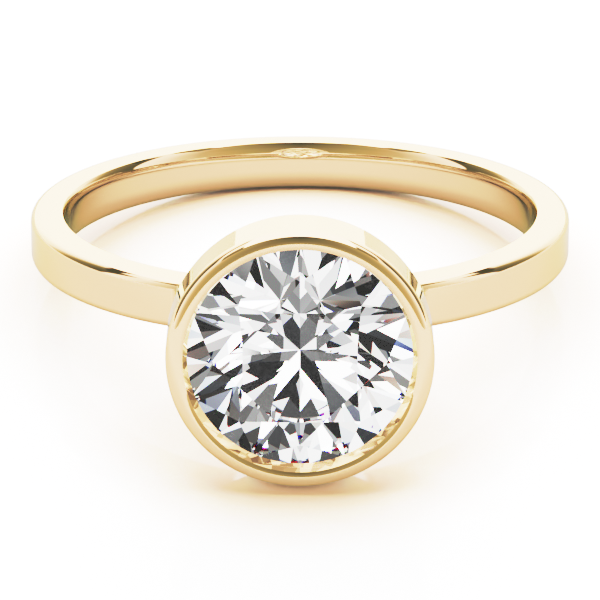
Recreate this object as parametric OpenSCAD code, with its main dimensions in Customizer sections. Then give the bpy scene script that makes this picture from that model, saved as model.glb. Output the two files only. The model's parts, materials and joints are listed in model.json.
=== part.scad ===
// Solitaire engagement ring: a round diamond in a plain bezel on a slim, flat-sided gold band.
// Millimetres. The ring lies as it rests, on the band's back and the bezel's lower rear edge.
// It is drawn upright about its own centre first: finger along Z, stone facing -Y.

/* [Band] */
// Radius of the finger hole where it is narrowest, US size 6
bore_r = 8.25; // [7.4:0.05:10]
// Width of the band along the finger
band_w = 1.7; // [1.5:0.05:2.4]
// Length of the straight stretch in the middle of the finger hole
bore_flat = 0.4; // [0.2:0.05:0.6]
// Thickness of the band at the back
back_t = 1.1; // [0.9:0.05:1.6]
// Thickness that the band reaches beside the bezel
head_t = 1.45; // [1.1:0.05:2.0]
// Radius of the band's outer edges
band_edge = 0.15; // [0.05:0.01:0.3]
// Radius of the gentle crown inside the finger hole
comfort_r = 2; // [1.5:0.1:2.4]
// Slope that the gentle crown reaches, in degrees
comfort_slope = 13.3; // [8:0.1:16]
// Slope of the small chamfer from the crown to the flat side, in degrees
inner_edge_slope = 26.6; // [24:0.1:45]

/* [Bezel] */
// Outer radius of the bezel wall
bezel_r = 4.37; // [4.3:0.01:4.6]
// Height of the lip's front over the finger hole
head_h = 6.33; // [6:0.01:7]
// Depth of the bezel from the front of its lip to its rear edge
bezel_depth = 2.13; // [1.9:0.01:2.6]
// Radius of the rounded lip
lip_r = 0.385; // [0.3:0.005:0.45]
// How far the lip rolls inwards past its front, in degrees
lip_roll = 29; // [10:1:35]
// Radius of the bezel's rear outer edge
rear_edge = 0.05; // [0.02:0.01:0.1]
// Radius of the open back behind the stone
back_open_r = 3.5; // [3:0.05:3.6]

/* [Shoulders] */
// Half of the width over the two shoulders that carry the bezel
shoulder_x = 4.15; // [4.05:0.01:4.25]
// Radius of the light opening where it meets the finger hole
light_r = 2.3; // [2:0.05:2.6]
// Radius of the solder fillet between a shoulder and the band
solder_r = 0.4; // [0.2:0.05:0.5]

/* [Diamond] */
// Radius of the girdle
stone_r = 3.75; // [3.7:0.01:3.78]
// Table radius to its corners, as a part of the girdle radius
table_part = 0.533; // [0.5:0.005:0.6]
// Slope of the eight kite facets, in degrees
crown_angle = 34.5; // [32:0.1:36]
// Radius of the star facets' outer tips, as a part of the girdle radius
star_part = 0.743; // [0.7:0.005:0.78]
// Slope of the eight pavilion mains, in degrees
pavilion_angle = 40.8; // [40:0.1:42]
// Radius of the lower halves' inner tips, as a part of the girdle radius
lower_part = 0.22; // [0.15:0.01:0.3]
// Thickness of the girdle at its hills; its valleys are 0.13 mm thinner
girdle_t = 0.2; // [0.17:0.01:0.3]
// Depth of the girdle's top below the front of the lip
girdle_drop = 0.65; // [0.6:0.01:0.75]
// Flat steps along each sixteenth of the girdle
girdle_steps = 6; // [2:1:8]

/* [Hidden] */
$fn = 96;
// Clearance between the stone and its seat
seat_gap = 0.02;
// How far the metal reaches in over the stone's crown, and its height there over the girdle
lip_reach = 0.085;
lip_over = 0.1;
// Amount by which one piece of metal runs into the next
weld = 0.3;
// Length that is safely past any face
past = 2;
// How much wider a fillet's arc is cut than its radius, so that it crosses the faces that it blends
arc_hair = 0.01;
// How far the light opening's cone runs into the bezel before its wall turns straight
cone_run = 0.2;

// Outer circle of the band, moved towards the stone so that the band thickens there
outer_r = bore_r + (back_t + head_t) / 2;
outer_shift = (head_t - back_t) / 2;

// Section through the finger hole's wall: straight, then a gentle crown, then a small chamfer
crown_z = bore_flat / 2 + comfort_r * sin(comfort_slope);
crown_rise = comfort_r * (1 - cos(comfort_slope));

// Places along the stone's axis, measured from the ring's centre
lip_front = bore_r + head_h;
bezel_back = lip_front - bezel_depth;
cone_end = bezel_back + cone_run;
lip_centre = [bezel_r - lip_r, lip_front - lip_r];
lip_end = lip_centre + lip_r * [-sin(lip_roll), cos(lip_roll)];
girdle_top = lip_front - girdle_drop;
girdle_low = girdle_top - girdle_t;
crown_h = stone_r * (1 - table_part) * tan(crown_angle);
culet = girdle_low - stone_r * tan(pavilion_angle);

// Seat: the metal's edge over the crown, the groove for the girdle, and the bearing below it
seat_edge = [stone_r - lip_reach, girdle_top + lip_over];
groove_r = stone_r + seat_gap;
bearing_z = girdle_low - seat_gap - (groove_r - back_open_r) * tan(pavilion_angle);

// Resting pose: the line on the floor touches the band's rear edge and the bezel's rear edge
band_contact = [outer_r - outer_shift - band_edge, band_edge - band_w / 2];
bezel_contact = [-bezel_back - rear_edge, rear_edge - bezel_r];
contact_span = band_contact - bezel_contact;
tilt = atan2(contact_span[1], contact_span[0]) - asin((band_edge - rear_edge) / norm(contact_span));
floor_z = band_contact[1] * cos(tilt) - band_contact[0] * sin(tilt) - band_edge;
rear_y = band_contact[0] * cos(tilt) - band_contact[1] * sin(tilt) + band_edge;
table_y = (girdle_top + crown_h) * cos(tilt) + stone_r * table_part * cos(22.5) * sin(tilt);
lip_y = lip_centre[1] * cos(tilt) + lip_centre[0] * sin(tilt) + lip_r;
front_y = -max(table_y, lip_y);

// Lays the upright ring down as it rests, with the origin under the middle of its box
module at_rest() {
    translate([0, -(front_y + rear_y) / 2, -floor_z]) rotate([-tilt, 0, 0]) children();
}

// Turns a piece that is drawn along Z so that it points along the stone's axis
module along_stone() {
    rotate([90, 0, 0]) children();
}

// Square from its low corner to its high corner
module span_square(low, high) {
    translate(low) square(high - low);
}

// Upper half of the wall's section, from the finger hole outwards
module wall_section_half() {
    outside = lip_front;
    chamfer_low = [bore_r + crown_rise - crown_z * tan(inner_edge_slope), 0];
    chamfer_high = [bore_r + crown_rise + (band_w / 2 - crown_z) * tan(inner_edge_slope), band_w / 2];
    intersection() {
        union() {
            span_square([bore_r, 0], [outside, bore_flat / 2]);
            intersection() {
                translate([bore_r + comfort_r, bore_flat / 2]) circle(comfort_r);
                span_square([bore_r - weld, bore_flat / 2], [bore_r + comfort_r, band_w / 2]);
            }
            span_square([bore_r + comfort_r, bore_flat / 2], [outside, band_w / 2]);
        }
        polygon([chamfer_low, [outside, 0], [outside, band_w / 2], chamfer_high]);
    }
}

// Solid of all that lies outside the comfort-fit finger hole, between the band's two flat sides
module around_finger() {
    rotate_extrude() {
        wall_section_half();
        mirror([0, 1]) wall_section_half();
    }
}

// Disc's section with rounded outer edges, from the axis outwards
module disc_section(r, half_w, edge) {
    span_square([0, -half_w], [r - edge, half_w]);
    span_square([0, edge - half_w], [r, half_w - edge]);
    for (side = [-1, 1]) translate([r - edge, side * (half_w - edge)]) circle(edge);
}

// Disc that gives the band its outer face and rounded edges
module outer_disc() {
    translate([0, -outer_shift, 0]) rotate_extrude() disc_section(outer_r, band_w / 2, band_edge);
}

// Rectangle with round corners, for the section of the shoulders
module rounded_section(half_x, half_y, edge) {
    span_square([edge - half_x, -half_y], [half_x - edge, half_y]);
    span_square([-half_x, edge - half_y], [half_x, half_y - edge]);
    for (x = [-1, 1], y = [-1, 1]) translate([x * (half_x - edge), y * (half_y - edge)]) circle(edge);
}

// Shoulders that rise from inside the band to the bezel, in one block until the head's space is cut
module shoulders() {
    start = bore_r * cos(asin(shoulder_x / bore_r)) - weld;
    along_stone() translate([0, 0, start]) linear_extrude(bezel_back + weld - start)
        rounded_section(shoulder_x, band_w / 2, band_edge);
}

// Concave solder fillet in the corner between a shoulder's side and the band
module solder_fillet() {
    centre_x = shoulder_x + solder_r;
    reach = outer_r + solder_r;
    centre_y = -outer_shift - sqrt(reach * reach - centre_x * centre_x);
    foot = [0, -outer_shift] + (outer_r - weld) / reach * [centre_x, centre_y + outer_shift];
    linear_extrude(band_w - band_edge * 2, center = true) difference() {
        polygon([
            [shoulder_x - weld, centre_y],
            [centre_x, centre_y],
            foot,
            [shoulder_x - weld, foot[1]]
        ]);
        translate([centre_x, centre_y]) circle(solder_r + arc_hair);
    }
}

// Slim band with flat sides, a comfort-fit finger hole and the shoulders that grow out of it
module band() {
    intersection() {
        around_finger();
        union() {
            outer_disc();
            shoulders();
            for (side = [0, 1]) mirror([side, 0, 0]) solder_fillet();
        }
    }
}

// Straight collar with a rounded lip, solid until the head's space is cut
module bezel() {
    along_stone() rotate_extrude() {
        polygon([
            [0, bezel_back],
            [bezel_r - rear_edge, bezel_back],
            [bezel_r - rear_edge, bezel_back + rear_edge],
            [bezel_r, bezel_back + rear_edge],
            [bezel_r, lip_centre[1]],
            [0, lip_centre[1]]
        ]);
        translate([bezel_r - rear_edge, bezel_back + rear_edge]) circle(rear_edge);
        translate(lip_centre) circle(lip_r);
    }
}

// Space inside the head: the light opening, the open back, the seat and the way in under the lip
module head_space() {
    taper = (back_open_r - light_r) / (cone_end - bore_r);
    low = bore_r - past;
    seat_to_lip = lip_end - seat_edge;
    mouth = lip_end + seat_to_lip;
    along_stone() rotate_extrude() polygon([
        [0, low],
        [light_r - past * taper, low],
        [back_open_r, cone_end],
        [back_open_r, bearing_z],
        [groove_r, girdle_low - seat_gap],
        [groove_r, girdle_top + seat_gap],
        seat_edge,
        mouth,
        [0, mouth[1]]
    ]);
}

// Band, shoulders and bezel, soldered into one piece of gold
module band_and_bezel() {
    color("#E0BE7A") at_rest() difference() {
        union() {
            band();
            bezel();
        }
        head_space();
    }
}

// Point at a radius, azimuth and height on the stone
function polar(r, az, h) = [r * cos(az), r * sin(az), h];

// Normal of the plane through three points
function plane_normal(a, b, c) = cross(b - a, c - a);

// Height of a plane at a point's x and y
function plane_height(n, a, x, y) = a[2] - (n[0] * (x - a[0]) + n[1] * (y - a[1])) / n[2];

// Edge of the girdle under one sixteenth: the facet through tip, kite and star points, cut by the girdle
function girdle_height(tip, kite, star, x, y) = plane_height(plane_normal(tip, kite, star), tip, x, y);

// Round brilliant: table, 8 stars, 8 kites, 16 upper halves, girdle, 16 lower halves and 8 mains
module round_brilliant() {
    sector = 45;
    half = sector / 2;
    n = girdle_steps;
    rim = 16 * n;
    table_r = stone_r * table_part;
    star_r = stone_r * star_part;
    lower_r = stone_r * lower_part;
    star_h = (stone_r - star_r * cos(half)) * tan(crown_angle);
    lower_h = -girdle_t - (stone_r - lower_r * cos(half)) * tan(pavilion_angle);
    star_tip = polar(star_r, half, star_h);
    lower_tip = polar(lower_r, half, lower_h);

    // One sixteenth from a kite point at azimuth 0 to a star point, which the others repeat
    step_az = [for (j = [0:rim - 1]) j * half / n];
    function fold(az) = abs((az + half) % sector - half);
    function rim_height(az, tip, h) = girdle_height(
        tip, polar(stone_r, 0, h), polar(stone_r, half, h),
        stone_r * cos(fold(az)), stone_r * sin(fold(az)));

    table_pts = [for (i = [0:7]) polar(table_r, i * sector, crown_h)];
    star_pts = [for (i = [0:7]) polar(star_r, i * sector + half, star_h)];
    lower_pts = [for (i = [0:7]) polar(lower_r, i * sector + half, lower_h)];
    rim_top = [for (az = step_az) polar(stone_r, az, rim_height(az, star_tip, 0))];
    rim_low = [for (az = step_az) polar(stone_r, az, rim_height(az, lower_tip, -girdle_t))];
    culet_pt = [0, 0, culet - girdle_top];

    // First index of each kind of point
    star_0 = 8;
    lower_0 = 16;
    top_0 = 24;
    low_0 = top_0 + rim;
    culet_i = low_0 + rim;

    faces = concat(
        [[for (i = [7:-1:0]) i]],
        [for (i = [0:7]) [i, (i + 1) % 8, star_0 + i]],
        [for (i = [0:7]) [i, star_0 + i, top_0 + 2 * n * i, star_0 + (i + 7) % 8]],
        [for (i = [0:7], s = [0, 1]) [star_0 + i, for (j = [n:-1:0]) top_0 + (2 * n * i + s * n + j) % rim]],
        [for (j = [0:rim - 1]) [top_0 + j, top_0 + (j + 1) % rim, low_0 + (j + 1) % rim, low_0 + j]],
        [for (i = [0:7], s = [0, 1]) [lower_0 + i, for (j = [0:n]) low_0 + (2 * n * i + s * n + j) % rim]],
        [for (i = [0:7]) [culet_i, lower_0 + (i + 7) % 8, low_0 + 2 * n * i, lower_0 + i]]
    );
    polyhedron(concat(table_pts, star_pts, lower_pts, rim_top, rim_low, [culet_pt]), faces);
}

// Diamond in its seat, with two edges of its table level
module diamond() {
    color("#F2F4F5") at_rest() along_stone() translate([0, 0, girdle_top]) rotate([0, 0, 22.5])
        round_brilliant();
}

band_and_bezel();
diamond();
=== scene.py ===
"""Solitaire engagement ring: polished yellow gold round a brilliant-cut diamond, lying as it rests.

Every shape is drawn in millimetres and degrees in the ring's own frame, with the finger along Z and the
stone facing -Y, and is then laid in the resting frame, in metres.
"""

import json
import logging
import math
from dataclasses import dataclass
from enum import Enum

import bpy
from mathutils import Matrix, Vector

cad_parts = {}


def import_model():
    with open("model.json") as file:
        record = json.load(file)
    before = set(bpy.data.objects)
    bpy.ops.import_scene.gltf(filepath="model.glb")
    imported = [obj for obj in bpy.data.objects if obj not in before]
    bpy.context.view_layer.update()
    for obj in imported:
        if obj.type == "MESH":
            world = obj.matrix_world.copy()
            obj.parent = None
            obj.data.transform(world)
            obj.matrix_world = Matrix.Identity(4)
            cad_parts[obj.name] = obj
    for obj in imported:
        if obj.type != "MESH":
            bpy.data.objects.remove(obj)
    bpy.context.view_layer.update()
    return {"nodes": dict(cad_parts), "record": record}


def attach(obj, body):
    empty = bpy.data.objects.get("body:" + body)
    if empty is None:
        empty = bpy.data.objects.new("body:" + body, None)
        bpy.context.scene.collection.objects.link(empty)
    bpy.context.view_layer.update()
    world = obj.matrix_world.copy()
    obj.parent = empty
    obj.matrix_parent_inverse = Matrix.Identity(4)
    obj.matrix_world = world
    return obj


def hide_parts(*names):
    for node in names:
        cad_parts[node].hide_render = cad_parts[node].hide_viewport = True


LOG = logging.getLogger("ring")
MM = 0.001
WHITE = (1.0, 1.0, 1.0, 1.0)
Node = bpy.types.Node
Socket = bpy.types.NodeSocket
Value = Socket | float
Point = tuple[float, float]
Stops = tuple[tuple[float, float | str], ...]

# Turns a piece that is drawn along Z towards the stone.
TOWARDS_STONE = Matrix.Rotation(math.radians(90), 4, "X")


class Cut(Enum):
    """The ways in which one solid acts on another."""

    JOIN = "UNION"
    REMOVE = "DIFFERENCE"


def linear(hex_colour: str) -> tuple[float, float, float, float]:
    """Turns an sRGB hex colour into a linear one.

    Args:
        hex_colour: The colour as #RRGGBB.

    Returns:
        Linear red, green and blue, and an alpha of 1.
    """
    shares = [int(hex_colour[i : i + 2], 16) / 255 for i in (1, 3, 5)]
    red, green, blue = (s / 12.92 if s <= 0.04045 else ((s + 0.055) / 1.055) ** 2.4 for s in shares)
    return red, green, blue, 1.0


def add_node(
    tree: bpy.types.NodeTree,
    kind: str,
    settings: dict | None = None,
    links: dict | None = None,
) -> Node:
    """Adds a node with its settings and the links into it.

    Args:
        tree: The node tree.
        kind: The node's type name.
        settings: Values by the name of an attribute, or by the name or number of an input socket.
        links: Output sockets by the name or number of the input socket that they feed.

    Returns:
        The new node.
    """
    node = tree.nodes.new(kind)
    for name, value in (settings or {}).items():
        if isinstance(name, str) and hasattr(node, name):
            setattr(node, name, value)
        else:
            node.inputs[name].default_value = value
    for name, socket in (links or {}).items():
        tree.links.new(socket, node.inputs[name])
    return node


def mix_shaders(tree: bpy.types.NodeTree, share: Value, first: Node, second: Node) -> Node:
    """Mixes two shaders.

    Args:
        tree: The node tree.
        share: How much of the second one, from 0 to 1.
        first: The first shader's node.
        second: The second shader's node.

    Returns:
        The node that mixes them.
    """
    mix = add_node(tree, "ShaderNodeMixShader", None, {1: first.outputs[0], 2: second.outputs[0]})
    if isinstance(share, Socket):
        tree.links.new(share, mix.inputs["Fac"])
    else:
        mix.inputs["Fac"].default_value = share
    return mix


def arc(centre: Point, radius: float, start: float, end: float, steps: int) -> list[Point]:
    """Works out the points along an arc.

    Args:
        centre: The arc's centre.
        radius: Its radius.
        start: The angle of its first point.
        end: The angle of its last point.
        steps: The number of straight steps along it.

    Returns:
        The points, both ends included.
    """
    angles = [math.radians(start + (end - start) * i / steps) for i in range(steps + 1)]
    return [(centre[0] + radius * math.cos(a), centre[1] + radius * math.sin(a)) for a in angles]


class Bench:
    """The workbench: operations that shape a piece by hand, in millimetres."""

    MERGE = 1e-4
    FIRST_CORNER = 0.1
    EVEN_WEIGHT = 100

    @staticmethod
    def clear() -> None:
        """Leaves nothing selected, because an operator acts on all that is."""
        if bpy.context.object and bpy.context.object.mode != "OBJECT":
            bpy.ops.object.mode_set(mode="OBJECT")
        bpy.ops.object.select_all(action="DESELECT")

    @classmethod
    def pick(cls, piece: bpy.types.Object) -> None:
        """Selects one piece alone and makes it active.

        Args:
            piece: The piece.
        """
        cls.clear()
        piece.select_set(True)
        bpy.context.view_layer.objects.active = piece

    @classmethod
    def outline(cls, name: str, points: list[Point], closed: bool) -> bpy.types.Object:
        """Draws an outline in the XZ plane by extruding one corner from point to point.

        Args:
            name: The piece's name.
            points: The outline's points, as x and z.
            closed: Whether the last point joins the first.

        Returns:
            The outline, a chain of edges.
        """
        cls.clear()
        x, z = points[0]
        bpy.ops.mesh.primitive_plane_add(size=cls.FIRST_CORNER, location=(x, 0, z))
        piece = bpy.context.object
        piece.name = name
        bpy.ops.object.transform_apply(location=True)
        bpy.ops.object.mode_set(mode="EDIT")
        bpy.ops.mesh.select_all(action="SELECT")
        bpy.ops.mesh.merge(type="CENTER")
        for (x0, z0), (x1, z1) in zip(points[:-1], points[1:]):
            bpy.ops.mesh.extrude_vertices_move(TRANSFORM_OT_translate={"value": (x1 - x0, 0, z1 - z0)})
        if closed:
            bpy.ops.mesh.select_all(action="SELECT")
            bpy.ops.mesh.edge_face_add()
            bpy.ops.mesh.delete(type="ONLY_FACE")
        bpy.ops.object.mode_set(mode="OBJECT")
        return piece

    @classmethod
    def spin(cls, name: str, points: list[Point], steps: int) -> bpy.types.Object:
        """Turns an outline round the Z axis into a closed solid.

        Args:
            name: The piece's name.
            points: The outline's points, as radius and height: closed, or from the axis back to it.
            steps: The number of steps in the full turn.

        Returns:
            The solid.
        """
        piece = cls.outline(name, points, closed=points[0][0] > 0)
        bpy.ops.object.mode_set(mode="EDIT")
        bpy.ops.mesh.select_all(action="SELECT")
        bpy.ops.mesh.spin(steps=steps, angle=math.tau, center=(0, 0, 0), axis=(0, 0, 1))
        cls.close()
        return piece

    @classmethod
    def prism(cls, name: str, points: list[Point], depth: float) -> bpy.types.Object:
        """Extrudes a closed outline in the XZ plane evenly to both sides of that plane.

        Args:
            name: The piece's name.
            points: The outline's points, as x and z.
            depth: The prism's whole length along Y.

        Returns:
            The solid.
        """
        piece = cls.outline(name, points, closed=False)
        bpy.ops.object.mode_set(mode="EDIT")
        bpy.ops.mesh.select_all(action="SELECT")
        bpy.ops.mesh.edge_face_add()
        bpy.ops.transform.translate(value=(0, -depth / 2, 0))
        bpy.ops.mesh.extrude_region_move(TRANSFORM_OT_translate={"value": (0, depth, 0)})
        cls.close()
        return piece

    @classmethod
    def close(cls) -> None:
        """Welds what lies together, turns every face outwards and leaves edit mode."""
        bpy.ops.mesh.select_all(action="SELECT")
        bpy.ops.mesh.remove_doubles(threshold=cls.MERGE)
        bpy.ops.mesh.dissolve_degenerate(threshold=cls.MERGE)
        bpy.ops.mesh.select_all(action="SELECT")
        bpy.ops.mesh.normals_make_consistent(inside=False)
        bpy.ops.object.mode_set(mode="OBJECT")

    @classmethod
    def place(cls, piece: bpy.types.Object, matrix: Matrix) -> bpy.types.Object:
        """Moves a piece's mesh by a matrix and leaves its object at the origin.

        Args:
            piece: The piece.
            matrix: The move.

        Returns:
            The piece.
        """
        cls.pick(piece)
        piece.matrix_world = matrix @ piece.matrix_world
        bpy.ops.object.transform_apply(location=True, rotation=True, scale=True)
        return piece

    @classmethod
    def combine(cls, body: bpy.types.Object, tool: bpy.types.Object, way: Cut) -> bpy.types.Object:
        """Joins a tool to a body, or removes it from the body, and takes the tool away.

        Args:
            body: The piece that stays.
            tool: The piece that is used up.
            way: What the tool does.

        Returns:
            The body.
        """
        change = body.modifiers.new(way.name, "BOOLEAN")
        change.operation = way.value
        change.solver = "EXACT"
        change.object = tool
        cls.pick(body)
        bpy.ops.object.modifier_apply(modifier=change.name)
        bpy.data.objects.remove(tool)
        return body

    @classmethod
    def polish(cls, piece: bpy.types.Object, sharp_angle: float) -> None:
        """Shades a piece smooth up to an angle, with its broad faces kept truly flat.

        Args:
            piece: The piece.
            sharp_angle: The angle past which an edge stays sharp.
        """
        cls.pick(piece)
        bpy.ops.object.shade_smooth_by_angle(angle=math.radians(sharp_angle))
        even = piece.modifiers.new("even", "WEIGHTED_NORMAL")
        even.mode = "FACE_AREA"
        even.weight = cls.EVEN_WEIGHT
        even.keep_sharp = True
        bpy.ops.object.modifier_apply(modifier=even.name)


@dataclass
class Pose:
    """Where the ring's own frame lies in the resting frame, from the finger hole in the record."""

    centre: Vector
    finger: Vector

    @classmethod
    def from_record(cls, record: dict) -> "Pose":
        """Reads the finger hole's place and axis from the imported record."""
        hole = next(m for m in record["mounts"] if m["name"] == "finger_hole")
        return cls(Vector(hole["pos_m"]), Vector(hole["axis"]).normalized())

    @property
    def stone(self) -> Vector:
        """The direction in which the diamond faces."""
        return Vector((1, 0, 0)).cross(self.finger).normalized()

    def matrix(self) -> Matrix:
        """Gives the matrix from the ring's frame in millimetres to the resting frame in metres."""
        columns = Matrix((Vector((1, 0, 0)), -self.stone, self.finger)).transposed()
        return Matrix.Translation(self.centre) @ columns.to_4x4() @ Matrix.Scale(MM, 4)


class Sums:
    """Small sums on sockets in a node tree, each by a node of its own."""

    def __init__(self, tree: bpy.types.NodeTree) -> None:
        """Keeps the tree that the nodes go into."""
        self.tree = tree

    def math(self, how: str, *values: Value) -> Socket:
        """Adds one sum over sockets or numbers.

        Args:
            how: The name of the operation.
            *values: Its inputs in order.

        Returns:
            The result's socket.
        """
        node = add_node(self.tree, "ShaderNodeMath", {"operation": how})
        for place, value in enumerate(values):
            if isinstance(value, Socket):
                self.tree.links.new(value, node.inputs[place])
            else:
                node.inputs[place].default_value = value
        return node.outputs[0]

    def rise(self, value: Socket, middle: float, soft: float) -> Socket:
        """Gives 0 below a value and 1 above it, with a soft change between.

        Args:
            value: The socket that is compared.
            middle: The value in the middle of the change.
            soft: Half the change's width.

        Returns:
            The share's socket.
        """
        settings = {
            "interpolation_type": "SMOOTHSTEP",
            "From Min": middle - soft,
            "From Max": middle + soft,
        }
        return add_node(self.tree, "ShaderNodeMapRange", settings, {"Value": value}).outputs["Result"]

    def spread(self, value: Socket, start: Point, end: Point) -> Socket:
        """Carries a value from one range over to another, and holds it at both ends.

        Args:
            value: The socket that is carried over.
            start: A value, and what it becomes.
            end: A higher value, and what that becomes.

        Returns:
            The result's socket.
        """
        settings = {"From Min": start[0], "To Min": start[1], "From Max": end[0], "To Max": end[1]}
        return add_node(self.tree, "ShaderNodeMapRange", settings, {"Value": value}).outputs["Result"]

    def ramp(self, value: Socket, span: float, stops: Stops) -> Socket:
        """Looks a value up on a ramp of brightnesses or colours.

        Args:
            value: The socket to look up, from 0 to the span.
            span: The value at the ramp's end.
            stops: Values and the brightness or hex colour that the ramp gives there, in order.

        Returns:
            The socket with what the ramp gives.
        """
        share = self.math("DIVIDE", value, span)
        node = add_node(self.tree, "ShaderNodeValToRGB", None, {"Fac": share})
        elements = node.color_ramp.elements
        for place, _ in stops[1:-1]:
            elements.new(place / span)
        for element, (place, given) in zip(elements, stops):
            element.position = place / span
            element.color = linear(given) if isinstance(given, str) else (given, given, given, 1)
        return node.outputs["Color"]

    def mix_colours(self, share: Socket, low: Socket | str, high: Socket | str) -> Socket:
        """Mixes two colours, each given as a socket or a hex colour.

        Args:
            share: How much of the second one, from 0 to 1.
            low: The first one.
            high: The second one.

        Returns:
            The mixed colour's socket.
        """
        node = add_node(self.tree, "ShaderNodeMix", {"data_type": "RGBA"}, {"Factor": share})
        ends = [socket for socket in node.inputs if socket.type == "RGBA"]
        for socket, colour in zip(ends, (low, high)):
            if isinstance(colour, str):
                socket.default_value = linear(colour)
            else:
                self.tree.links.new(colour, socket)
        return next(socket for socket in node.outputs if socket.type == "RGBA")

    def mirrored_only(self) -> Socket:
        """Gives 1 for what a polished surface mirrors, and 0 for light through the stone and all else."""
        path = add_node(self.tree, "ShaderNodeLightPath")
        return self.math("SUBTRACT", path.outputs["Is Glossy Ray"], path.outputs["Is Transmission Ray"])

    def blend(self, share: Socket, low: Value, high: Value) -> Socket:
        """Blends two brightnesses.

        Args:
            share: How much of the second one, from 0 to 1.
            low: The first one.
            high: The second one.

        Returns:
            The blend's socket.
        """
        span = self.math("SUBTRACT", high, low)
        return self.math("ADD", low, self.math("MULTIPLY", span, share))


@dataclass(frozen=True)
class PolishedGold:
    """14 carat yellow gold, buffed to a mirror: a warm, pale image softened by hairlines too fine to see.

    The hairlines are drawn as clouds of softer and sharper gloss, as coarse as they need to be to show.
    Buffing by hand also leaves a shallow ripple, which makes long mirrored lines waver.
    """

    colour: str = "#FFC697"
    mirrored_colour: str = "#DCD8D0"
    edge_tint: str = "#FFF7D4"
    roughness: float = 0.03
    roughness_swing: float = 0.025
    buff_mm: float = 0.9
    buff_detail: float = 3.0
    ripple_mm: float = 2.6
    ripple_detail: float = 1.0
    ripple_height_mm: float = 0.0006

    def material(self) -> bpy.types.Material:
        """Makes the material.

        Returns:
            The material, whose colour is painted paler where the gold is seen mirrored in gold.
        """
        material = bpy.data.materials.new("polished_yellow_gold")
        material.use_nodes = True
        tree = material.node_tree
        shader = tree.nodes["Principled BSDF"]
        shader.inputs["Metallic"].default_value = 1.0
        shader.inputs["Specular Tint"].default_value = linear(self.edge_tint)
        sums = Sums(tree)
        # Painted reflection colour: where gold is mirrored in gold, it takes a paler, near-white colour in
        # place of its own.
        glossy = add_node(tree, "ShaderNodeLightPath").outputs["Is Glossy Ray"]
        colour = sums.mix_colours(glossy, self.colour, self.mirrored_colour)
        tree.links.new(colour, shader.inputs["Base Color"])
        place = add_node(tree, "ShaderNodeTexCoord")
        buff = add_node(
            tree,
            "ShaderNodeTexNoise",
            {"Scale": 1 / (self.buff_mm * MM), "Detail": self.buff_detail},
            {"Vector": place.outputs["Object"]},
        )
        swing = self.roughness_swing / 2
        smoothest, roughest = (0.0, self.roughness - swing), (1.0, self.roughness + swing)
        roughness = sums.spread(buff.outputs["Fac"], smoothest, roughest)
        tree.links.new(roughness, shader.inputs["Roughness"])
        ripple = add_node(
            tree,
            "ShaderNodeTexNoise",
            {"Scale": 1 / (self.ripple_mm * MM), "Detail": self.ripple_detail},
            {"Vector": place.outputs["Object"]},
        )
        bump = add_node(
            tree,
            "ShaderNodeBump",
            {"Strength": 1.0, "Distance": self.ripple_height_mm * MM},
            {"Height": ripple.outputs["Fac"]},
        )
        tree.links.new(bump.outputs["Normal"], shader.inputs["Normal"])
        return material


@dataclass(frozen=True)
class CutDiamond:
    """Colourless diamond, faceted and polished: it bends light hard and splits it.

    The facets flash black and white, with fire where two flashes meet. Mirrored in the gold, part of the
    stone carries a painted glint: small cells that glow, standing in for its facets' flashes there.
    """

    ior: float = 2.418
    fire_iors: tuple[float, float, float] = (2.385, 2.420, 2.462)
    fire: float = 0.2
    surface_mirror: float = 0.08
    whole_mirror: float = 0.999
    painted_glint: float = 0.45
    painted_glint_colour: str = "#FAFFF2"
    painted_glint_mm: float = 0.4
    painted_glint_low: Point = (0.3, 0.7)
    painted_glint_high: Point = (0.7, 4.2)

    def material(self) -> bpy.types.Material:
        """Makes the material: light splits as it enters, bounces while it is mirrored whole, then leaves.

        Returns:
            The material.
        """
        material = bpy.data.materials.new("cut_diamond")
        material.use_nodes = True
        tree = material.node_tree
        tree.nodes.remove(tree.nodes["Principled BSDF"])
        entering = add_node(
            tree,
            "ShaderNodeBsdfRefraction",
            {"Color": (1 - self.fire,) * 3 + (1,), "Roughness": 0.0, "IOR": self.ior},
        )
        for channel, ior in enumerate(self.fire_iors):
            colour = [0.0, 0.0, 0.0, 1.0]
            colour[channel] = self.fire
            bent = {"Color": colour, "Roughness": 0.0, "IOR": ior}
            part = add_node(tree, "ShaderNodeBsdfRefraction", bent)
            parts = {0: entering.outputs[0], 1: part.outputs[0]}
            entering = add_node(tree, "ShaderNodeAddShader", None, parts)
        mirror = add_node(tree, "ShaderNodeBsdfAnisotropic", {"Color": WHITE, "Roughness": 0.0})
        share = add_node(tree, "ShaderNodeFresnel", {"IOR": self.ior})
        sums = Sums(tree)
        kept = sums.math("MULTIPLY", share.outputs[0], self.surface_mirror)
        place = add_node(tree, "ShaderNodeTexCoord")
        painted_glint_cells = add_node(
            tree,
            "ShaderNodeTexVoronoi",
            {"Scale": 1 / (self.painted_glint_mm * MM)},
            {"Vector": place.outputs["Object"]},
        )
        painted_glint_strength = sums.spread(painted_glint_cells.outputs["Color"], self.painted_glint_low, self.painted_glint_high)
        hue = {"Color": linear(self.painted_glint_colour)}
        # Painted glint: where the gold mirrors the stone, small cells glow, though no lamp is there.
        painted_glint = add_node(tree, "ShaderNodeEmission", hue, {"Strength": painted_glint_strength})
        painted_glint_share = sums.math("MULTIPLY", sums.mirrored_only(), self.painted_glint)
        outside = mix_shaders(tree, kept, entering, mirror)
        outside = mix_shaders(tree, painted_glint_share, outside, painted_glint)
        whole = sums.math("GREATER_THAN", share.outputs[0], self.whole_mirror)
        clear = {"Color": WHITE, "Roughness": 0.0, "IOR": self.ior}
        leaving = add_node(tree, "ShaderNodeBsdfRefraction", clear)
        inside = mix_shaders(tree, whole, leaving, mirror)
        side = add_node(tree, "ShaderNodeNewGeometry")
        both = mix_shaders(tree, side.outputs["Backfacing"], outside, inside)
        tree.links.new(both.outputs[0], tree.nodes["Material Output"].inputs["Surface"])
        return material


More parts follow.
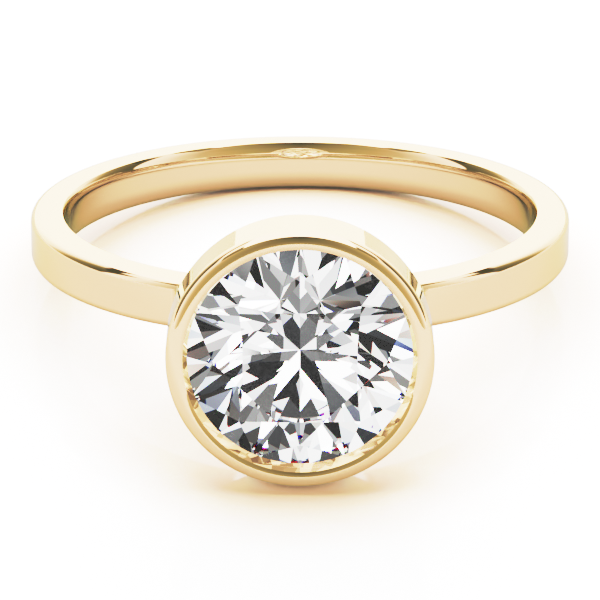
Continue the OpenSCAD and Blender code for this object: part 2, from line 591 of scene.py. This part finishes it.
@dataclass
class Band:
    """The slim band: flat sides, rounded outer edges and a comfort-fit finger hole."""

    bore_r: float = 8.25
    width: float = 1.7
    bore_flat: float = 0.4
    back_t: float = 1.1
    head_t: float = 1.45
    edge: float = 0.3
    comfort_r: float = 2.0
    comfort_slope: float = 13.3
    inner_edge_slope: float = 40.0
    hold: float = 0.01
    turn_steps: int = 384
    arc_steps: int = 8

    @property
    def outer_r(self) -> float:
        """Radius of the outer face."""
        return self.bore_r + (self.back_t + self.head_t) / 2

    @property
    def outer_shift(self) -> float:
        """How far the outer face's centre lies towards the stone."""
        return (self.head_t - self.back_t) / 2

    def wall(self) -> list[Point]:
        """Works out the upper half of the finger hole's wall, from its middle to the flat side.

        Returns:
            Its points, as radius and height.
        """
        half = self.width / 2
        slope, end_slope = math.radians(self.comfort_slope), math.radians(self.inner_edge_slope)
        crown_z = self.bore_flat / 2 + self.comfort_r * math.sin(slope)
        crown_rise = self.comfort_r * (1 - math.cos(slope))
        edge_r = (half - crown_z) / (math.sin(end_slope) - math.sin(slope))
        crown_centre = (self.bore_r + self.comfort_r, self.bore_flat / 2)
        edge_x = self.bore_r + crown_rise + edge_r * math.cos(slope)
        edge_centre = (edge_x, crown_z - edge_r * math.sin(slope))
        crown = arc(crown_centre, self.comfort_r, 180, 180 - self.comfort_slope, self.arc_steps)
        start, end = 180 - self.comfort_slope, 180 - self.inner_edge_slope
        rounding = arc(edge_centre, edge_r, start, end, self.arc_steps)
        return crown + rounding[1:]

    def build(self) -> bpy.types.Object:
        """Spins the band's section round the finger and slides its outer half towards the stone.

        A holding loop beside each rounding keeps the shading of the flat sides flat.

        Returns:
            The band, in the ring's frame.
        """
        half, inner = self.width / 2, self.outer_r - self.edge
        wall = self.wall()
        upper = [*wall, (wall[-1][0] + self.hold, half), (inner - self.hold, half)]
        upper += arc((inner, half - self.edge), self.edge, 90, 0, self.arc_steps)
        lower = [(r, -z) for r, z in reversed(upper)]
        band = Bench.spin("band", [*upper, *lower], self.turn_steps)
        middle = (wall[-1][0] + inner) / 2
        for vertex in band.data.vertices:
            vertex.select = vertex.co.xy.length > middle
        bpy.ops.object.mode_set(mode="EDIT")
        bpy.ops.mesh.select_mode(type="VERT")
        bpy.ops.transform.translate(value=(0, -self.outer_shift, 0))
        bpy.ops.object.mode_set(mode="OBJECT")
        return band


@dataclass
class Bezel:
    """The straight collar with its rounded lip, and the space inside the head."""

    radius: float = 4.37
    head_h: float = 6.33
    depth: float = 2.13
    lip_r: float = 0.385
    lip_turn: float = 150.0
    lip_roll: float = 29.0
    rear_edge: float = 0.05
    back_open_r: float = 3.5
    light_r: float = 2.3
    cone_run: float = 0.2
    stone_r: float = 3.75
    girdle_t: float = 0.2
    girdle_drop: float = 0.65
    pavilion_angle: float = 40.8
    seat_gap: float = 0.02
    lip_reach: float = 0.085
    lip_over: float = 0.1
    past: float = 2.0
    turn_steps: int = 320
    lip_steps: int = 24

    def front(self, band: Band) -> float:
        """Distance from the ring's centre to the front of the lip."""
        return band.bore_r + self.head_h

    def back(self, band: Band) -> float:
        """Distance from the ring's centre to the bezel's rear edge."""
        return self.front(band) - self.depth

    def collar(self, band: Band) -> bpy.types.Object:
        """Makes the collar with its lip, still solid inside.

        Args:
            band: The band that it stands on.

        Returns:
            The collar, in the ring's frame.
        """
        back = self.back(band)
        lip_centre = (self.radius - self.lip_r, self.front(band) - self.lip_r)
        lip = arc(lip_centre, self.lip_r, 0, self.lip_turn, self.lip_steps)
        rear_centre = (self.radius - self.rear_edge, back + self.rear_edge)
        rear = arc(rear_centre, self.rear_edge, -90, 0, band.arc_steps // 2)
        collar = Bench.spin("collar", [(0.0, back), *rear, *lip, (0.0, lip[-1][1])], self.turn_steps)
        return Bench.place(collar, TOWARDS_STONE)

    def space_tool(self, band: Band) -> bpy.types.Object:
        """Makes the solid that cuts the light opening, the open back, the seat and the lip's inner slope.

        Args:
            band: The band that the light opening passes through.

        Returns:
            The tool, in the ring's frame.
        """
        front, back = self.front(band), self.back(band)
        roll = math.radians(self.lip_roll)
        girdle_top = front - self.girdle_drop
        girdle_low = girdle_top - self.girdle_t
        groove_r = self.stone_r + self.seat_gap
        bearing = girdle_low - self.seat_gap
        bearing -= (groove_r - self.back_open_r) * math.tan(math.radians(self.pavilion_angle))
        cone_end = back + self.cone_run
        taper = (self.back_open_r - self.light_r) / (cone_end - band.bore_r)
        low = band.bore_r - self.past
        lip_end = Vector((self.radius - self.lip_r, front - self.lip_r))
        lip_end += self.lip_r * Vector((-math.sin(roll), math.cos(roll)))
        seat_edge = Vector((self.stone_r - self.lip_reach, girdle_top + self.lip_over))
        mouth = lip_end * 2 - seat_edge
        points = [
            (0.0, low),
            (self.light_r - self.past * taper, low),
            (self.back_open_r, cone_end),
            (self.back_open_r, bearing),
            (groove_r, girdle_low - self.seat_gap),
            (groove_r, girdle_top + self.seat_gap),
            tuple(seat_edge),
            tuple(mouth),
            (0.0, mouth[1]),
        ]
        tool = Bench.spin("space_tool", points, self.turn_steps)
        return Bench.place(tool, TOWARDS_STONE)


@dataclass
class Shoulders:
    """The shoulders that carry the bezel, with a solder fillet where each leaves the band."""

    half_x: float = 4.15
    solder_r: float = 0.4
    root: float = 0.25
    weld: float = 0.3
    arc_hair: float = 0.01

    def block(self, band: Band, bezel: Bezel) -> bpy.types.Object:
        """Makes both shoulders in one block with rounded edges, which the light opening parts later.

        Args:
            band: The band that they grow out of.
            bezel: The bezel that they run into.

        Returns:
            The block, in the ring's frame.
        """
        start = band.bore_r + self.root
        end = bezel.back(band) + self.weld
        Bench.clear()
        bpy.ops.mesh.primitive_cube_add(size=1, location=(0, -(start + end) / 2, 0))
        block = bpy.context.object
        block.name = "shoulder_block"
        block.scale = (2 * self.half_x, end - start, band.width)
        bpy.ops.object.transform_apply(location=True, scale=True)
        bpy.ops.object.mode_set(mode="EDIT")
        bpy.ops.mesh.select_all(action="DESELECT")
        bpy.ops.object.mode_set(mode="OBJECT")
        for edge in block.data.edges:
            ends = [block.data.vertices[i].co for i in edge.vertices]
            edge.select = abs(ends[0].y - ends[1].y) > (end - start) / 2
        bpy.ops.object.mode_set(mode="EDIT")
        bpy.ops.mesh.select_mode(type="EDGE")
        bpy.ops.mesh.bevel(offset=band.edge, segments=band.arc_steps, affect="EDGES")
        bpy.ops.mesh.select_mode(type="VERT")
        Bench.close()
        return block

    def fillet(self, band: Band, side: int) -> bpy.types.Object:
        """Makes the concave solder fillet in the corner between one shoulder and the band.

        The hollow has a hair more radius than its corner calls for, so that its ends lie inside the gold.

        Args:
            band: The band.
            side: 1 for the right shoulder, -1 for the left one.

        Returns:
            The fillet, in the ring's frame.
        """
        centre_x = self.half_x + self.solder_r
        reach = band.outer_r + self.solder_r
        centre_y = math.sqrt(reach**2 - centre_x**2) + band.outer_shift
        radius = self.solder_r + self.arc_hair
        band_centre = Vector((0, band.outer_shift))
        centre = Vector((centre_x, centre_y))
        foot = band_centre + (centre - band_centre) * (band.outer_r - self.weld) / reach
        towards = math.degrees(math.atan2(foot.y - centre.y, foot.x - centre.x)) % 360
        hollow = arc(tuple(centre), radius, 180, towards, band.arc_steps)
        inner_x = self.half_x - self.weld
        points = [(inner_x, centre_y), *hollow, tuple(foot), (inner_x, foot.y)]
        points = [(x * side, y) for x, y in points]
        fillet = Bench.prism("fillet", points, band.width - 2 * band.edge)
        return Bench.place(fillet, TOWARDS_STONE)


@dataclass
class Goldwork:
    """Band, shoulders and bezel, soldered into one piece of gold."""

    band: Band
    bezel: Bezel
    shoulders: Shoulders
    finish: PolishedGold
    sharp_angle: float = 28.0

    def build(self, pose: Pose) -> bpy.types.Object:
        """Builds and dresses the goldwork, in place of its CAD node.

        Light that has passed through the stone doesn't see the gold, which keeps the facets colourless.

        Args:
            pose: Where the ring lies.

        Returns:
            The piece.
        """
        gold = self.band.build()
        Bench.combine(gold, self.shoulders.block(self.band, self.bezel), Cut.JOIN)
        for side in (-1, 1):
            Bench.combine(gold, self.shoulders.fillet(self.band, side), Cut.JOIN)
        Bench.combine(gold, self.bezel.collar(self.band), Cut.JOIN)
        Bench.combine(gold, self.bezel.space_tool(self.band), Cut.REMOVE)
        gold.name = gold.data.name = "goldwork"
        Bench.polish(gold, self.sharp_angle)
        Bench.place(gold, pose.matrix())
        gold.data.materials.clear()
        gold.data.materials.append(self.finish.material())
        gold.visible_transmission = False
        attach(gold, "root")
        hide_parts("band_and_bezel")
        return gold


@dataclass
class Stone:
    """The round brilliant, which keeps its CAD shape and gets its finish here."""

    finish: CutDiamond

    def dress(self, node: bpy.types.Object) -> bpy.types.Object:
        """Gives the CAD node of the stone its material.

        Args:
            node: The CAD node.

        Returns:
            The node.
        """
        node.data.materials.clear()
        node.data.materials.append(self.finish.material())
        return node


@dataclass(frozen=True)
class Room:
    """Brightness of the studio by direction, as a polished surface mirrors it.

    A white ceiling ends in straight edges at the front and the sides. The front wall is dark at its top,
    lightens downwards and sideways, and has a darker cornice under the ceiling's edge at its sides. Behind
    the side corners each wall starts dark, lightens to the rear and upwards, and has a dark rail along it.
    Angles go round from the camera's side to the rear, alike on both sides, and up from the table.
    """

    white: float = 4.8
    front_edge: float = 3.17
    side_edge: float = 1.6
    edge_soft: float = 0.03
    corner: float = 90.0
    corner_soft: float = 1.0
    side_level: float = 2.4
    upper_level: float = 3.1
    upper_edge: float = 41.0
    upper_soft: float = 4.0
    front_levels: Stops = (
        (0, 0.51),
        (14, 0.41),
        (30, 0.3),
        (46, 0.25),
        (62, 0.12),
        (70, 0.03),
    )
    front_spread: Stops = (
        (0, 0),
        (20, 0.07),
        (40, 0.15),
        (52, 0.22),
        (62, 0.4),
        (72, 0.75),
        (84, 1.0),
    )
    rear_levels: Stops = (
        (90, 0.2),
        (97, 0.22),
        (104, 0.3),
        (110, 0.35),
        (118, 0.5),
        (126, 1.1),
        (134, 2.5),
        (150, 3.8),
        (160, 4.6),
    )
    cornice_height: float = 0.45
    cornice_start: float = 52.0
    cornice_soft: float = 6.0
    cornice_level: float = 0.4
    rail_top: float = 44.0
    rail_middle: float = 135.0
    rail_bend: float = 0.0105
    rail_half: float = 4.0
    rail_soft: float = 1.2
    rail_reach: float = 38.0
    rail_level: float = 0.12
    tint_span: float = 1.5
    tints: Stops = (
        (0.0, "#D9FFE3"),
        (0.3, "#DFFFC9"),
        (0.7, "#F5FFDD"),
        (1.0, "#FFFFFA"),
        (1.5, "#FFFFFF"),
    )

    def rail(self, sums: Sums, around: Socket, height: Socket) -> Socket:
        """Gives 1 on the dark rail that runs in an arch along each rear wall, and 0 off it.

        Args:
            sums: The sums of the world's node tree.
            around: The angle round the ring from the camera's side.
            height: The angle above the table.

        Returns:
            The socket with the share.
        """
        off = sums.math("SUBTRACT", around, self.rail_middle)
        drop = sums.math("MULTIPLY", sums.math("MULTIPLY", off, off), self.rail_bend)
        arch = sums.math("ADD", height, drop)
        from_middle = sums.math("ABSOLUTE", sums.math("SUBTRACT", arch, self.rail_top))
        across = sums.rise(sums.math("SUBTRACT", self.rail_half, from_middle), 0.0, self.rail_soft)
        along = sums.math("SUBTRACT", self.rail_reach, sums.math("ABSOLUTE", off))
        return sums.math("MULTIPLY", across, sums.rise(along, 0.0, self.rail_soft))

    def tint(self, sums: Sums, level: Socket) -> Socket:
        """Works out the colour of a wall from its brightness: the darker it is, the cooler."""
        return sums.ramp(level, self.tint_span, self.tints)

    def level(self, sums: Sums, direction: Socket) -> Socket:
        """Works out the brightness in a direction.

        Args:
            sums: The sums of the world's node tree.
            direction: The direction's socket.

        Returns:
            The brightness's socket.
        """
        split = add_node(sums.tree, "ShaderNodeSeparateXYZ", None, {"Vector": direction})
        x = sums.math("ABSOLUTE", split.outputs["X"])
        y, z = split.outputs["Y"], split.outputs["Z"]
        half_turn = 180.0
        around = sums.math("DEGREES", sums.math("ARCTAN2", x, sums.math("MULTIPLY", y, -1.0)))
        height = sums.math("DEGREES", sums.math("ARCSINE", z))
        front = sums.ramp(height, half_turn / 2, self.front_levels)
        front = sums.blend(sums.ramp(around, half_turn, self.front_spread), front, self.side_level)
        over_front = sums.math("ADD", z, sums.math("MULTIPLY", y, self.front_edge))
        over_side = sums.math("SUBTRACT", z, sums.math("MULTIPLY", x, self.side_edge))
        over = sums.math("MINIMUM", over_front, over_side)
        cornice = sums.rise(sums.math("ADD", over, self.cornice_height), 0.0, self.edge_soft)
        sideways = sums.rise(around, self.cornice_start, self.cornice_soft)
        cornice = sums.math("MULTIPLY", cornice, sideways)
        front = sums.blend(cornice, front, self.cornice_level)
        rear = sums.ramp(around, half_turn, self.rear_levels)
        upper = sums.math("MAXIMUM", rear, self.upper_level)
        rear = sums.blend(sums.rise(height, self.upper_edge, self.upper_soft), rear, upper)
        rear = sums.blend(self.rail(sums, around, height), rear, self.rail_level)
        walls = sums.blend(sums.rise(around, self.corner, self.corner_soft), front, rear)
        return sums.blend(sums.rise(over, 0.0, self.edge_soft), walls, self.white)


@dataclass(frozen=True)
class Strip:
    """An upright strip of light: where it stands, half its width, its brightness and its lean.

    The place and width are angles round the ring, from the camera's side towards the right, and the lean
    is what the place changes by for each degree of height.
    """

    place: float
    half: float
    level: float
    lean: float = 0.0


@dataclass(frozen=True)
class StripLights:
    """The lit strips and dark gaps on the camera's side, which the stone shows in its facets."""

    gap_level: float = 0.02
    rear_level: float = 0.32
    rear_edge: float = 125.0
    soft: float = 3.0
    strips: tuple[Strip, ...] = (
        Strip(-86, 8, 5.0),
        Strip(-68, 6, 0.5, 0.1),
        Strip(-41, 8, 0.4, 0.3),
        Strip(-29, 6, 2.0),
        Strip(-19, 8, 0.26, -0.15),
        Strip(-2, 2.5, 0.25, 0.1),
        Strip(11, 4.5, 6.0, -0.1),
        Strip(16, 13, 0.33, -0.1),
        Strip(29, 5, 1.5, -0.2),
        Strip(30, 11, 0.6, 0.5),
        Strip(54, 16, 1.9, -0.12),
        Strip(82, 4, 8.0, -0.25),
    )

    def level(self, sums: Sums, direction: Socket) -> Socket:
        """Works out the brightness in a direction.

        Args:
            sums: The sums of the world's node tree.
            direction: The direction's socket.

        Returns:
            The brightness's socket.
        """
        split = add_node(sums.tree, "ShaderNodeSeparateXYZ", None, {"Vector": direction})
        ahead = sums.math("MULTIPLY", split.outputs["Y"], -1.0)
        around = sums.math("DEGREES", sums.math("ARCTAN2", split.outputs["X"], ahead))
        height = sums.math("DEGREES", sums.math("ARCSINE", split.outputs["Z"]))
        rear = sums.rise(sums.math("ABSOLUTE", around), self.rear_edge, self.soft)
        total = sums.math("ADD", sums.math("MULTIPLY", rear, self.rear_level), self.gap_level)
        for strip in self.strips:
            middle = sums.math("ADD", sums.math("MULTIPLY", height, strip.lean), strip.place)
            off = sums.math("ABSOLUTE", sums.math("SUBTRACT", around, middle))
            within = sums.rise(sums.math("SUBTRACT", strip.half, off), 0.0, self.soft)
            total = sums.math("ADD", sums.math("MULTIPLY", within, strip.level), total)
        return total


@dataclass(frozen=True)
class WhiteTable:
    """White lacquered table: matt with a faint gloss, with painted shade and a painted warm glow where it
    lies close to the gold.

    The gold mirrors a dimmer copy of it with painted shade: its share falls a little near the ring, and it
    darkens by the ring's occlusion, with a patch of painted light in front of the bezel's foot. A pair
    named near or far is a distance in millimetres and the share there.
    """

    shine: float = 0.12
    gloss: float = 0.07
    painted_shade_reach_mm: float = 6.0
    # Painted contact shadow and painted warm glow, by how open each spot of the table is to the room.
    painted_shade_and_glow: Stops = (
        (0.0, "#302C27"),
        (0.15, "#EDCEAD"),
        (0.3, "#EDBC90"),
        (0.42, "#D4A47C"),
        (0.52, "#BC936F"),
        (0.6, "#BC9773"),
        (0.66, "#CEA67E"),
        (0.72, "#E2BC95"),
        (0.8, "#EFD1B3"),
        (0.87, "#FFFFFF"),
    )
    mirrored_painted_shade: Stops = (
        (0.0, "#8CBEB0"),
        (0.25, "#E8FFFF"),
        (0.45, "#CCE4D4"),
        (0.7, "#DAD3D2"),
        (0.98, "#FFFFFF"),
    )
    mirrored_shade_near: Point = (20.0, 0.19)
    mirrored_shade_far: Point = (36.0, 0.225)
    lip_foot_mm: float = -12.0
    lip_light_near: Point = (2.0, 0.36)
    lip_light_far: Point = (6.5, 0.0)

    def by_distance(
        self,
        sums: Sums,
        centre: tuple[float, float, float],
        near: Point,
        far: Point,
    ) -> Socket:
        """Gives a share that goes from one value to another with the distance from a place.

        Args:
            sums: The sums of the table's node tree.
            centre: The place on the table, in metres.
            near: The lesser distance and the share there.
            far: The greater distance and the share there.

        Returns:
            The share's socket.
        """
        place = add_node(sums.tree, "ShaderNodeTexCoord")
        settings = {"operation": "DISTANCE", 1: centre}
        off = add_node(sums.tree, "ShaderNodeVectorMath", settings, {0: place.outputs["Object"]})
        return sums.spread(off.outputs["Value"], (near[0] * MM, near[1]), (far[0] * MM, far[1]))

    def mirrored(self, sums: Sums, openness: Socket) -> Node:
        """Makes the shader that the gold mirrors: a dimmer copy of the table with painted shade and painted
        light.

        Args:
            sums: The sums of the table's node tree.
            openness: How open each spot of the table is to the room.

        Returns:
            The shader's node.
        """
        # Painted shade: the mirrored copy darkens near the ring, by distance from its centre and by
        # occlusion.
        share = self.by_distance(sums, (0.0, 0.0, 0.0), self.mirrored_shade_near, self.mirrored_shade_far)
        colour = add_node(
            sums.tree,
            "ShaderNodeVectorMath",
            {"operation": "SCALE"},
            {0: sums.ramp(openness, 1.0, self.mirrored_painted_shade), "Scale": share},
        )
        matt = add_node(sums.tree, "ShaderNodeBsdfDiffuse", None, {"Color": colour.outputs["Vector"]})
        # Painted light: a patch of the table in front of the bezel's foot glows, though no lamp is there.
        lip_foot = (0.0, self.lip_foot_mm * MM, 0.0)
        light = self.by_distance(sums, lip_foot, self.lip_light_near, self.lip_light_far)
        painted_lip_light = add_node(sums.tree, "ShaderNodeEmission", {"Color": WHITE}, {"Strength": light})
        return add_node(sums.tree, "ShaderNodeAddShader", None, {0: matt.outputs[0], 1: painted_lip_light.outputs[0]})

    def material(self) -> bpy.types.Material:
        """Makes the material.

        Returns:
            The material, which looks otherwise to the camera than it does mirrored: the gold sees a dimmer
            copy with painted shade.
        """
        material = bpy.data.materials.new("white_lacquer")
        material.use_nodes = True
        tree = material.node_tree
        sums = Sums(tree)
        reach = {"Distance": self.painted_shade_reach_mm * MM}
        openness = add_node(tree, "ShaderNodeAmbientOcclusion", reach).outputs["AO"]
        matt = tree.nodes["Principled BSDF"]
        matt.inputs["Roughness"].default_value = 1.0
        # Painted shade and light: by the ring's occlusion the table's colour darkens to a contact shadow
        # and warms as if lit by the gold.
        tree.links.new(sums.ramp(openness, 1.0, self.painted_shade_and_glow), matt.inputs["Base Color"])
        shine = add_node(tree, "ShaderNodeBsdfAnisotropic", {"Color": WHITE, "Roughness": self.gloss})
        seen = mix_shaders(tree, self.shine, matt, shine)
        camera_ray = add_node(tree, "ShaderNodeLightPath").outputs["Is Camera Ray"]
        both = mix_shaders(tree, camera_ray, self.mirrored(sums, openness), seen)
        tree.links.new(both.outputs[0], tree.nodes["Material Output"].inputs["Surface"])
        return material


@dataclass
class Studio:
    """A white table in a white room with a darker front, shot from a little above with a long lens."""

    room: Room
    strip_lights: StripLights
    table_finish: WhiteTable
    camera_elevation: float = 26.36
    camera_pitch: float = 27.30
    camera_distance_mm: float = 152.7
    lens_mm: float = 258.0
    sensor_mm: float = 36.0
    clip_near: float = 0.01
    clip_far: float = 10.0
    stone_bounces: int = 32
    mirror_bounces: int = 16
    backdrop: float = 12.0
    table_light: float = 3.6
    table_size: float = 3.0
    tones: tuple[Point, ...] = (
        (0, 0),
        (0.02, 0.028),
        (0.05, 0.052),
        (0.08, 0.072),
        (0.15, 0.115),
        (0.25, 0.22),
        (0.32, 0.32),
        (0.61, 0.61),
        (0.68, 0.66),
        (0.86, 0.71),
        (1.0, 0.76),
        (1.2, 0.815),
        (1.7, 0.871),
        (2.3, 0.913),
        (3.6, 0.947),
        (5.3, 0.973),
        (7.7, 1.0),
    )

    def camera(self, pose: Pose) -> None:
        """Sets up the camera at the photograph's angle.

        Args:
            pose: Where the ring lies.
        """
        elevation, pitch = math.radians(self.camera_elevation), math.radians(self.camera_pitch)
        towards_camera = Vector((0, -math.cos(elevation), math.sin(elevation)))
        place = pose.centre + towards_camera * self.camera_distance_mm * MM
        data = bpy.data.cameras.new("camera")
        data.lens, data.sensor_width = self.lens_mm, self.sensor_mm
        data.clip_start, data.clip_end = self.clip_near, self.clip_far
        camera = bpy.data.objects.new("camera", data)
        camera.location = place
        camera.rotation_euler = (math.radians(90) - pitch, 0, 0)
        bpy.context.scene.collection.objects.link(camera)
        bpy.context.scene.camera = camera

    def table(self) -> None:
        """Lays the white, softly glossy table under the ring."""
        Bench.clear()
        bpy.ops.mesh.primitive_plane_add(size=self.table_size)
        table = bpy.context.object
        table.name = "table"
        table.data.materials.append(self.table_finish.material())
        table.visible_transmission = False

    def light(self) -> None:
        """Lights the scene: the room, brighter for matt surfaces, and the strips through the stone."""
        world = bpy.data.worlds.new("studio")
        world.use_nodes = True
        bpy.context.scene.world = world
        tree = world.node_tree
        sums = Sums(tree)
        place = add_node(tree, "ShaderNodeTexCoord")
        path = add_node(tree, "ShaderNodeLightPath")
        room = self.room.level(sums, place.outputs["Generated"])
        strips = self.strip_lights.level(sums, place.outputs["Generated"])
        on_matt = sums.math("MULTIPLY", room, self.table_light)
        level = sums.blend(path.outputs["Is Glossy Ray"], on_matt, room)
        level = sums.blend(path.outputs["Is Transmission Ray"], level, strips)
        level = sums.blend(path.outputs["Is Camera Ray"], level, self.backdrop)
        sky = tree.nodes["Background"]
        colour = sums.mix_colours(sums.mirrored_only(), "#FFFFFF", self.room.tint(sums, room))
        tree.links.new(colour, sky.inputs["Color"])
        tree.links.new(level, sky.inputs["Strength"])

    def look(self) -> None:
        """Sets the tone curve, the light bounces that a diamond needs, and noise removal."""
        scene = bpy.context.scene
        view = scene.view_settings
        view.view_transform = "Standard"
        view.use_curve_mapping = True
        mapping = view.curve_mapping
        mapping.use_clip = False
        mapping.clip_max_x, mapping.clip_max_y = self.tones[-1]
        # The fourth curve acts on red, green and blue alike.
        curve = mapping.curves[3]
        ends = (self.tones[0], self.tones[-1])
        for point, place in zip((curve.points[0], curve.points[-1]), ends):
            point.location = place
        for place in self.tones[1:-1]:
            curve.points.new(*place)
        for point in curve.points:
            point.handle_type = "VECTOR"
        mapping.update()
        cycles = scene.cycles
        cycles.max_bounces = self.stone_bounces
        cycles.glossy_bounces = self.mirror_bounces
        cycles.transmission_bounces = self.stone_bounces
        cycles.use_denoising = True

    def build(self, pose: Pose) -> None:
        """Builds the table, the light, the camera and the look of the picture.

        Args:
            pose: Where the ring lies.
        """
        self.table()
        self.light()
        self.camera(pose)
        self.look()


def main() -> None:
    """Builds the ring piece by piece, then the studio round it."""
    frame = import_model()
    pose = Pose.from_record(frame["record"])
    goldwork = Goldwork(Band(), Bezel(), Shoulders(), PolishedGold()).build(pose)
    LOG.info("goldwork: %d faces", len(goldwork.data.polygons))
    stone = Stone(CutDiamond()).dress(frame["nodes"]["diamond"])
    LOG.info("diamond: %d faces", len(stone.data.polygons))
    Studio(Room(), StripLights(), WhiteTable()).build(pose)


if __name__ == "__main__":
    logging.basicConfig(level=logging.INFO, format="%(name)s: %(message)s")
    main()
